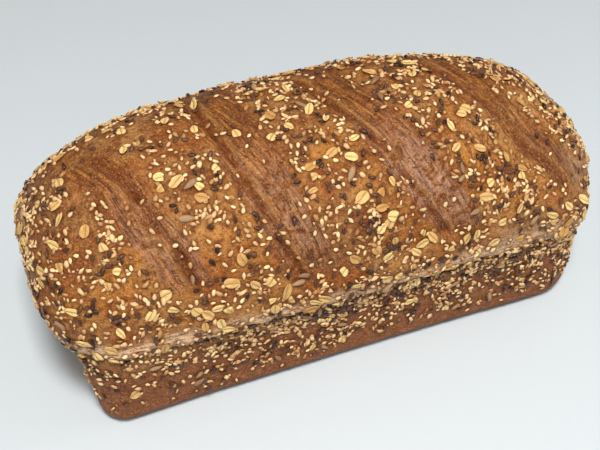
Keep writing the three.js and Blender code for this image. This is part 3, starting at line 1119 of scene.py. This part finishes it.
def spread_copies(name, kind, number):
    places, normals = sow(kind["count"], kind["room"], density_for(kind, number))
    axes = turned_frames(normals, kind["tilt"])
    sizes = rng.uniform(*kind["size"], len(places))
    picks = rng.integers(0, len(kind["masters"]), len(places))
    parts = {"mark": [], "tint": [], "along": [], "across": []}
    vertices, faces, start = [], [], 0
    for place, normal, axis, grow, pick in zip(places, normals, axes, sizes, picks):
        shape = kind["masters"][pick]
        local = shape["places"] * grow * rng.uniform(0.88, 1.12, 3)
        thickness = shape["places"][:, 2].max() * grow
        sink = rng.uniform(0.1, 1.0) ** 1.5 * kind["depth"] + kind["sink"]
        vertices.append(local @ axis.T + place + normal * thickness * (1 - sink))
        faces += [[corner + start for corner in face] for face in shape["faces"]]
        for key in ("mark", "along", "across"):
            parts[key].append(shape[key])
        parts["tint"].append(np.full(len(local), rng.random()))
        start += len(local)
    made = add_object(name, bpy.data.meshes.new(name))
    made.data.from_pydata(np.concatenate(vertices), [], faces)
    made.data.shade_smooth()
    for key, values in parts.items():
        remember(made.data, key, np.concatenate(values))
    print(name, len(places), "grains,", len(faces), "faces")
    return made, places, sizes * kind["room"]


# %% [markdown]
# ## The grains' finish
# All grains share one recipe with their own values. Each grain has its own tint between light and dark,
# fine lines and a crease along it, a marked tip, and a rim. Oats are creamy and matt, sesame pale,
# sunflower kernels greyish beige, linseeds almost black and shiny, and broken grain anything from cream to
# toasted orange.

# %% Looks of the grains
GRAIN_LOOKS = {
    "oat_flakes": {
        "light": (0.88, 0.665, 0.27, 1), "dark": (0.52, 0.28, 0.080, 1),
        "mark": (0.30, 0.11, 0.022, 1), "rim": (0.42, 0.19, 0.045, 1),
        "lines": 0.35, "crease": 0.8, "rough": 0.5, "patches": 500.0},
    "sunflower_kernels": {
        "light": (0.46, 0.27, 0.13, 1), "dark": (0.26, 0.13, 0.055, 1),
        "mark": (0.14, 0.075, 0.04, 1), "rim": (0.22, 0.12, 0.06, 1),
        "lines": 0.5, "crease": 0.0, "rough": 0.42, "patches": 350.0},
    "linseeds": {
        "light": (0.12, 0.045, 0.018, 1), "dark": (0.020, 0.007, 0.003, 1),
        "mark": (0.05, 0.02, 0.01, 1), "rim": (0.03, 0.012, 0.005, 1),
        "lines": 0.0, "crease": 0.0, "rough": 0.2, "patches": 500.0},
    "sesame_seeds": {
        "light": (0.82, 0.60, 0.31, 1), "dark": (0.45, 0.22, 0.075, 1),
        "mark": (0.50, 0.27, 0.09, 1), "rim": (0.62, 0.36, 0.13, 1),
        "lines": 0.0, "crease": 0.0, "rough": 0.4, "patches": 400.0},
    "grain_chips": {
        "light": (0.80, 0.56, 0.28, 1), "dark": (0.34, 0.13, 0.030, 1),
        "mark": (0.42, 0.18, 0.05, 1), "rim": (0.60, 0.38, 0.17, 1),
        "lines": 0.0, "crease": 0.0, "rough": 0.5, "patches": 600.0},
}
GRAIN_GLOSS = 0.3
print("looks for", list(GRAIN_LOOKS))

# %% [markdown]
# The lines and the crease can't be modelled on so many grains, so they are painted from along and across.
# The crease bends and sits a little off the middle, by the grain's own tint.

# %% The grains' material
def lines_along_grain(tree):
    drawn = add_node(tree, "ShaderNodeCombineXYZ", {
        "X": times(tree, stored(tree, "along"), 0.9),
        "Y": times(tree, stored(tree, "across"), 5.5),
        "Z": times(tree, stored(tree, "tint"), 90.0)}).outputs[0]
    lines = add_node(tree, "ShaderNodeTexNoise", {"Vector": drawn, "Scale": 1.6, "Detail": 2.0})
    return ramp(tree, lines.outputs["Fac"], 0.38, 0.6)


def crease_line(tree):
    bend = maths(tree, "SINE", times(tree, stored(tree, "along"), 2.6))
    off = times(tree, maths(tree, "SUBTRACT", stored(tree, "tint"), 0.4), 0.35)
    off = maths(tree, "ADD", off, times(tree, bend, 0.07))
    side = maths(tree, "ABSOLUTE", maths(tree, "SUBTRACT", stored(tree, "across"), off))
    before_ends = ramp(tree, maths(tree, "ABSOLUTE", stored(tree, "along")), 0.92, 0.7)
    return times(tree, ramp(tree, side, 0.13, 0.03), before_ends)


def grain_material(name, look):
    material, tree, shader = new_material(name + "_finish")
    blotch = use_group(tree, mottle_group, Patches=look["patches"], Sharpness=0.6)["Value"]
    share = maths(tree, "ADD", maths(tree, "POWER", stored(tree, "tint"), 1.6), times(tree, blotch, 0.3))
    share = maths(tree, "SUBTRACT", share, 0.1, clamp=True)
    lines = lines_along_grain(tree)
    crease = times(tree, crease_line(tree), ramp(tree, blotch, -0.6, 0.5))
    out = maths(tree, "ADD", maths(tree, "POWER", stored(tree, "along"), 2.0),
                maths(tree, "POWER", stored(tree, "across"), 2.0))
    colour = coats(tree, mix(tree, share, look["light"], look["dark"]),
                   (look["mark"], lines, look["lines"]),
                   (look["mark"], stored(tree, "mark"), 0.35),
                   (look["mark"], crease, look["crease"]),
                   (look["rim"], ramp(tree, out, 0.6, 1.0), 0.6))
    tree.links.new(colour, shader.inputs["Base Color"])
    rough = maths(tree, "ADD", look["rough"], times(tree, blotch, 0.15))
    tree.links.new(rough, shader.inputs["Roughness"])
    shader.inputs["Specular IOR Level"].default_value = GRAIN_GLOSS
    grain = use_group(tree, grain_group, Grain=2200.0, Pits=1500.0)["Height"]
    height = maths(tree, "ADD", grain, times(tree, lines, -look["lines"]))
    add_bump(tree, shader, height, 0.4, 0.0004)
    return material


# %% [markdown]
# The big grains are sown first, as they are pressed in first, and the small ones fill the room between
# them.

# %% Sow all kinds
sown_places, sown_reach = [], []
for number, (name, kind) in enumerate(GRAINS.items()):
    coating, places, reach_mm = spread_copies(name, kind, number)
    sown_places.append(places)
    sown_reach.append(reach_mm)
    coating.data.materials.append(grain_material(name, GRAIN_LOOKS[name]))
    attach(coating, "root")

# %% [markdown]
# Dough rose round each grain. So every vertex of the crust looks for the grain nearest to it: it is lifted
# a little beside a big one, and it remembers how close the grain is, for painted shade in the nook beside it.

# %% Dough round the grains
MOUND = 0.4  # millimetres
SHADE_RING_WIDTH = 1.2
SMALL_REACH, BIG_REACH = 1.5, 2.4  # no mound beside a small grain, a full one beside a big one

sown_places = np.concatenate(sown_places)
sown_reach = np.concatenate(sown_reach)
tree_of_grains = KDTree(len(sown_places))
for index, place in enumerate(sown_places):
    tree_of_grains.insert(place, index)
tree_of_grains.balance()
found = [tree_of_grains.find(place) for place in skin]
nearest = np.array([index for _, index, _ in found])
gap = np.array([distance for _, _, distance in found]) / MM - sown_reach[nearest]
# painted shade: how close a grain is, so the crust beside it can be painted darker
remember(crust.data, "painted_grain_shade", bump(np.clip(gap, 0, None), SHADE_RING_WIDTH))
mound = MOUND * bump(gap - SHADE_RING_WIDTH, SHADE_RING_WIDTH) * smooth(SMALL_REACH, BIG_REACH, sown_reach[nearest])
push(crust.data, skin, mound * MM * resting)
print("grains in all:", len(sown_places))
